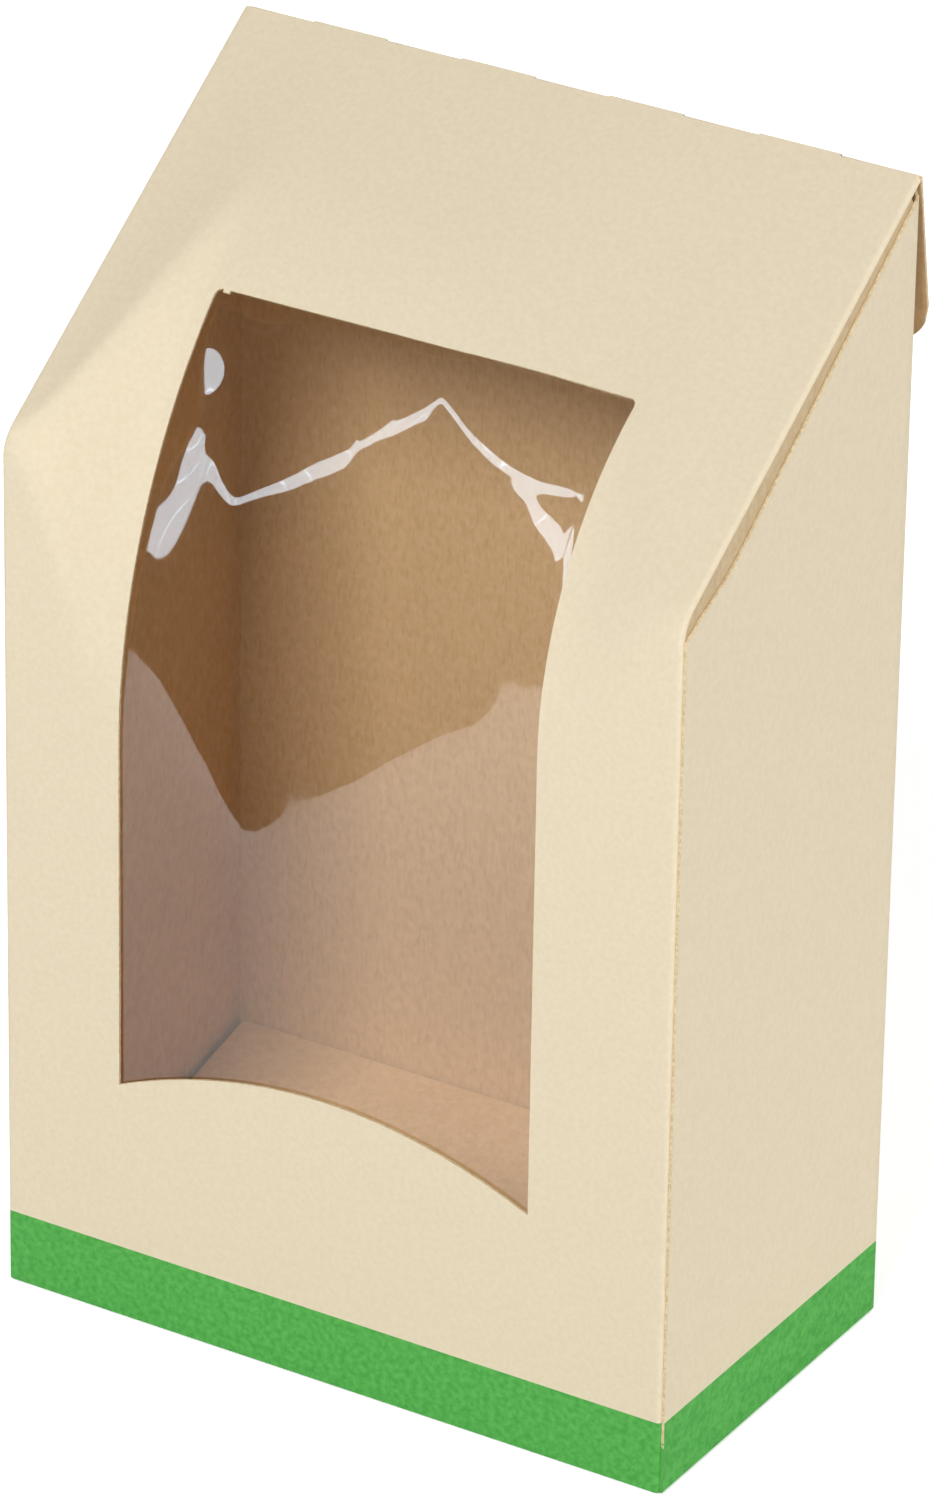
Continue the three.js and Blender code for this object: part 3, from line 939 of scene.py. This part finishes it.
def window_film():
    left, right = WINDOW_LEFT - FILM_BORDER, WINDOW_RIGHT + FILM_BORDER
    columns = ((left, 0), (WINDOW_LEFT, 8), (WINDOW_RIGHT, 120), (right, 8))
    rows = ((0, 0), (1, 240))
    bottom = WINDOW_CORNER_HEIGHT - FILM_BORDER
    made = {}

    def place(across, share):
        if across not in made:
            made[across] = FilmColumn(across)
        top = Section(across).total - WINDOW_TOP_BELOW_RIDGE + FILM_BORDER
        along = mix(bottom, top, share)
        return sheet_point(across, along, FILM_DEPTH + made[across].depth(along))

    bm = bmesh.new()
    add_grid(bm, columns, rows, place)
    piece = make_piece("window_film_sheet", bm, (FILM,))
    thicken(piece, FILM_THICKNESS)
    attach(piece, "carton")
    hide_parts("window_film")


# Studio

def seen_rays(tree, glossy):
    """Is one for camera and transmission rays, and for glossy rays where asked."""
    rays = node(tree, "ShaderNodeLightPath")
    seen = maths(tree, "MAXIMUM", rays.outputs["Is Camera Ray"], rays.outputs["Is Transmission Ray"])
    if glossy:
        seen = maths(tree, "MAXIMUM", seen, rays.outputs["Is Glossy Ray"])
    return seen, rays


def table():
    """A round white table. Its edge is what the film shows as the end of its pale reflection.
    It is clear from below, so that the underside of the box can be seen."""
    bm = bmesh.new()
    bmesh.ops.create_circle(bm, cap_ends=True, segments=128, radius=TABLE_RADIUS)
    bmesh.ops.translate(bm, vec=(0, 0, -TABLE_DROP), verts=bm.verts)
    material, tree = new_material("white_table")
    seen, _ = seen_rays(tree, True)
    matt = node(tree, "ShaderNodeBsdfDiffuse", None, color=linear("#F2F2F2"))
    glow = node(tree, "ShaderNodeEmission", None, color=(1, 1, 1, 1), strength=TABLE_GLOW)
    lit = node(tree, "ShaderNodeAddShader")
    tree.links.new(matt.outputs[0], lit.inputs[0])
    tree.links.new(glow.outputs[0], lit.inputs[1])
    above = mix_shaders(tree, seen, matt, lit)
    below = node(tree, "ShaderNodeNewGeometry").outputs["Backfacing"]
    sided = mix_shaders(tree, below, above, node(tree, "ShaderNodeBsdfTransparent"))
    node(tree, "ShaderNodeOutputMaterial", None, surface=sided.outputs[0])
    make_piece("table", bm, (material,))


def world():
    """White behind the object. Reflections see it as far up as the table reaches, and a dim
    room above. A low even light comes from all round."""
    made = bpy.data.worlds.new("studio")
    bpy.context.scene.world = made
    made.use_nodes = True
    tree = made.node_tree
    for old in list(tree.nodes):
        tree.nodes.remove(old)
    seen, rays = seen_rays(tree, False)
    way = node(tree, "ShaderNodeTexCoord").outputs["Generated"]
    height = node(tree, "ShaderNodeSeparateXYZ", None, vector=way).outputs["Z"]
    room = node(tree, "ShaderNodeMapRange", None, value=height, from_min=HORIZON_LOW,
                from_max=HORIZON_HIGH, to_min=1.0, to_max=ROOM_LEVEL)
    white, dim, light = (
        node(tree, "ShaderNodeBackground", None, color=(1, 1, 1, 1), strength=strength)
        for strength in (1.0, room.outputs[0], LIGHT_LEVEL))
    unseen = mix_shaders(tree, rays.outputs["Is Glossy Ray"], light, dim)
    mixed = mix_shaders(tree, seen, unseen, white)
    node(tree, "ShaderNodeOutputWorld", None, surface=mixed.outputs[0])


def lamp(name, place, target, size, watts, colour="#FFFFFF", mirrored=True):
    """A soft lamp aimed at a target. A mirrored one is seen in the film's reflections and lights
    nothing; the others light everything and are left out of reflections."""
    data = bpy.data.lights.new(name, "AREA")
    data.shape = "RECTANGLE"
    data.size, data.size_y = size
    data.energy = watts
    data.color = linear(colour)[:3]
    made = bpy.data.objects.new(name, data)
    made.location = place
    way = Vector(target) - Vector(place)
    made.rotation_euler = way.to_track_quat("-Z", "Y").to_euler()
    made.visible_glossy = mirrored
    made.visible_diffuse = not mirrored
    bpy.context.scene.collection.objects.link(made)


def strip_lamps():
    """An arc of long low lamps at the front left, whose line the film shows."""
    for number in range(STRIP_COUNT):
        azimuth = math.radians(STRIP_FIRST + number * STRIP_SPACING)
        rise = math.tan(math.radians(STRIP_ELEVATION))
        way = Vector((-math.sin(azimuth), -math.cos(azimuth), rise))
        place = STRIP_TARGET + way * STRIP_DISTANCE
        lamp("strip_lamp", place, STRIP_TARGET, STRIP_SIZE, STRIP_WATTS, STRIP_COLOUR)


def camera():
    data = bpy.data.cameras.new("camera")
    data.lens = LENS_MM
    data.sensor_width = SENSOR_MM
    data.sensor_fit = "AUTO"
    made = bpy.data.objects.new("camera", data)
    made.location = CAMERA_PLACE
    made.rotation_euler = [math.radians(angle) for angle in CAMERA_TURN]
    bpy.context.scene.collection.objects.link(made)
    bpy.context.scene.camera = made


carton()
closing_flap()
crease_roll()
window_film()
table()
world()
strip_lamps()
lamp("key_softbox", KEY_PLACE, LAMP_TARGET, KEY_SIZE, KEY_WATTS, mirrored=False)
lamp("back_softbox", BACK_PLACE, LAMP_TARGET, BACK_SIZE, BACK_WATTS, mirrored=False)
lamp("fill_softbox", FILL_PLACE, LAMP_TARGET, FILL_SIZE, FILL_WATTS, mirrored=False)
camera()
bpy.context.scene.view_settings.view_transform = "Standard"
